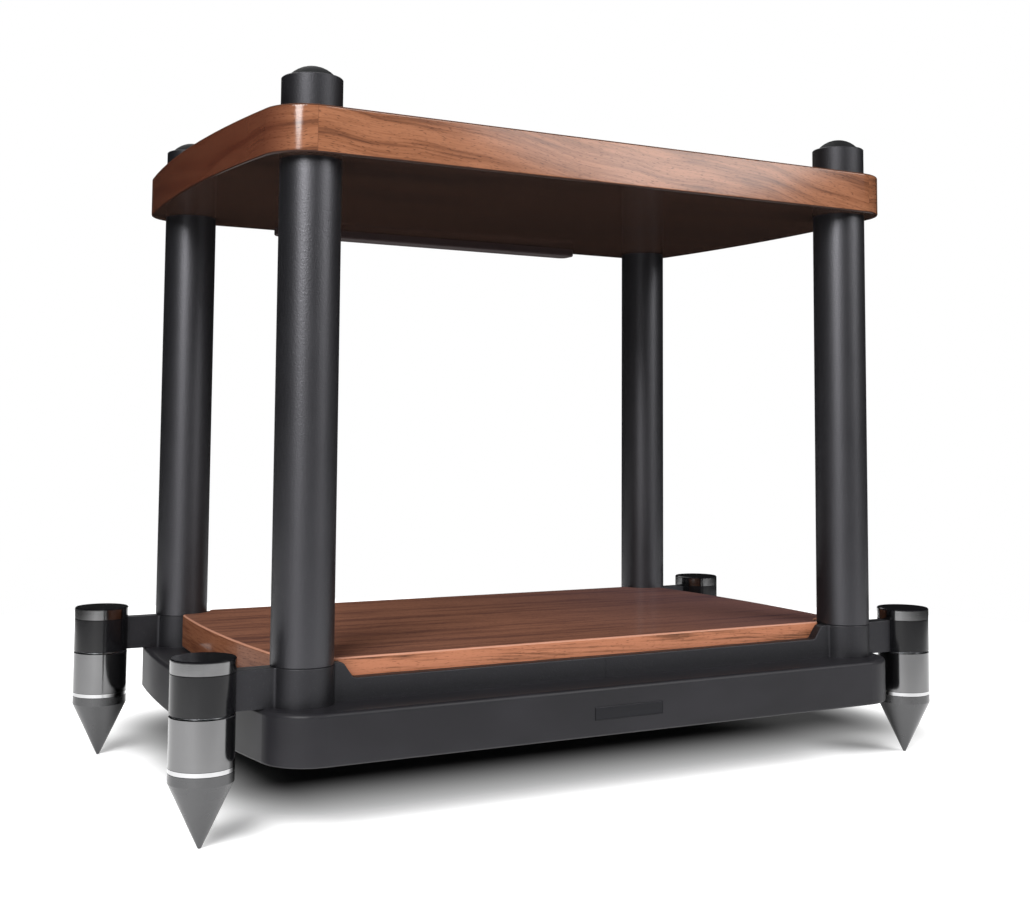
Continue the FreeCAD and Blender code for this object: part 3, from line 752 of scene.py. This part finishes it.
class STAND_OT_set_stage(bpy.types.Operator):
    """Set up the white floor, the soft lamps and the camera"""

    bl_idname = "stand.set_stage"
    bl_label = "Set the stage"

    def execute(self, context):
        scene, studio = context.scene, context.scene.stand_studio
        self.lay_floor(studio)
        for name in ("top", "left", "right", "back"):
            self.hang_lamp(scene, studio, name)
        for name in ("left", "right"):
            self.stand_strip(scene, studio, name)
        self.light_room(scene, studio)
        self.place_camera(scene, studio)
        scene.view_settings.view_transform = "Standard"
        return {"FINISHED"}

    @staticmethod
    def lay_floor(studio):
        """A round sheet of white paper under the stand."""
        shape = bmesh.new()
        bmesh.ops.create_circle(shape, cap_ends=True, segments=FLOOR_SIDES, radius=studio.floor_radius)
        floor = new_object("floor", shape, floor_paper("floor_paper", studio))

    @classmethod
    def hang_lamp(cls, scene, studio, name):
        """A soft round lamp that faces the stand."""
        lamp = bpy.data.lights.new(f"{name}_lamp", "AREA")
        lamp.shape = "DISK"
        lamp.size = getattr(studio, f"{name}_width")
        lamp.energy = getattr(studio, f"{name}_power")
        cls.aim_lamp(scene, studio, lamp, Vector(getattr(studio, f"{name}_place")))

    @classmethod
    def stand_strip(cls, scene, studio, name):
        """An upright strip lamp on the floor below a round lamp."""
        strip = bpy.data.lights.new(f"{name}_strip", "AREA")
        strip.shape = "RECTANGLE"
        strip.size = studio.strip_width
        strip.size_y = studio.strip_height
        strip.energy = studio.strip_power * getattr(studio, f"{name}_power")
        x, y, _ = getattr(studio, f"{name}_place")
        cls.aim_lamp(scene, studio, strip, Vector((x, y, studio.strip_height / 2)))

    @staticmethod
    def aim_lamp(scene, studio, lamp, place):
        """Put a lamp in its place, facing the stand."""
        hung = bpy.data.objects.new(lamp.name, lamp)
        hung.location = place
        hung.rotation_euler = (Vector(studio.aim) - place).to_track_quat("-Z", "Y").to_euler()
        scene.collection.objects.link(hung)

    @staticmethod
    def light_room(scene, studio):
        """A room that looks white behind the stand and is dim in its reflections."""
        room = Finish(bpy.data.worlds.new("room"))
        seen = room.add("ShaderNodeLightPath", {}, {}, "Is Camera Ray")
        dim = room.add("ShaderNodeBackground", {}, {"Color": WHITE, "Strength": studio.surround})
        white = room.add("ShaderNodeBackground", {}, {"Color": WHITE})
        light = room.add("ShaderNodeMixShader", {}, {0: seen, 1: dim, 2: white})
        room.add("ShaderNodeOutputWorld", {}, {"Surface": light})
        scene.world = room.owner

    @staticmethod
    def place_camera(scene, studio):
        """The camera, level but for a small pitch and roll."""
        yaw, pitch, roll = studio.camera_yaw, studio.camera_pitch, studio.camera_roll
        ahead = Vector((sin(yaw), cos(yaw), 0.0))
        level = Vector((cos(yaw), -sin(yaw), 0.0))
        above = Vector((0.0, 0.0, 1.0))
        view = ahead * cos(pitch) + above * sin(pitch)
        rise = above * cos(pitch) - ahead * sin(pitch)
        right = level * cos(roll) + rise * sin(roll)
        up = rise * cos(roll) - level * sin(roll)
        turn = Matrix((right, up, -view)).transposed()
        lens = bpy.data.cameras.new("camera")
        lens.lens = studio.camera_lens
        lens.sensor_width = SENSOR_WIDTH
        lens.shift_y = studio.camera_shift
        lens.clip_start = NEAREST_VIEW
        camera = bpy.data.objects.new("camera", lens)
        camera.matrix_world = Matrix.Translation(studio.camera_place) @ turn.to_4x4()
        scene.collection.objects.link(camera)
        scene.camera = camera


class STAND_PT_finishes(bpy.types.Panel):
    """Lists the steps that finish the stand, and the values that they use"""

    bl_idname = "STAND_PT_finishes"
    bl_label = "Speaker stand"
    bl_space_type = "VIEW_3D"
    bl_region_type = "UI"
    bl_category = "Stand"

    def draw(self, context):
        for step in OPERATORS:
            self.layout.operator(step.bl_idname)
        for name in GROUPS:
            group = getattr(context.scene, name)
            box = self.layout.box()
            for key in group.bl_rna.properties.keys():
                if key not in ("rna_type", "name"):
                    box.prop(group, key)


OPERATORS = (STAND_OT_veneer_boards, STAND_OT_coat_steelwork, STAND_OT_paint_plinth, STAND_OT_plate_feet,
             STAND_OT_finish_fasteners, STAND_OT_cut_threads, STAND_OT_set_plate, STAND_OT_set_stage)
GROUPS = {"stand_sizes": StandSizes, "stand_colours": StandColours, "stand_studio": StandStudio}
CLASSES = (*GROUPS.values(), *OPERATORS, STAND_PT_finishes)


def register():
    for cls in CLASSES:
        bpy.utils.register_class(cls)
    for name, group in GROUPS.items():
        setattr(bpy.types.Scene, name, PointerProperty(type=group))


def unregister():
    for name in GROUPS:
        delattr(bpy.types.Scene, name)
    for cls in reversed(CLASSES):
        bpy.utils.unregister_class(cls)


def main():
    register()
    bpy.ops.stand.veneer_boards()
    bpy.ops.stand.coat_steelwork()
    bpy.ops.stand.paint_plinth()
    bpy.ops.stand.plate_feet()
    bpy.ops.stand.finish_fasteners()
    bpy.ops.stand.cut_threads()
    bpy.ops.stand.set_plate()
    bpy.ops.stand.set_stage()


if __name__ == "__main__":
    main()
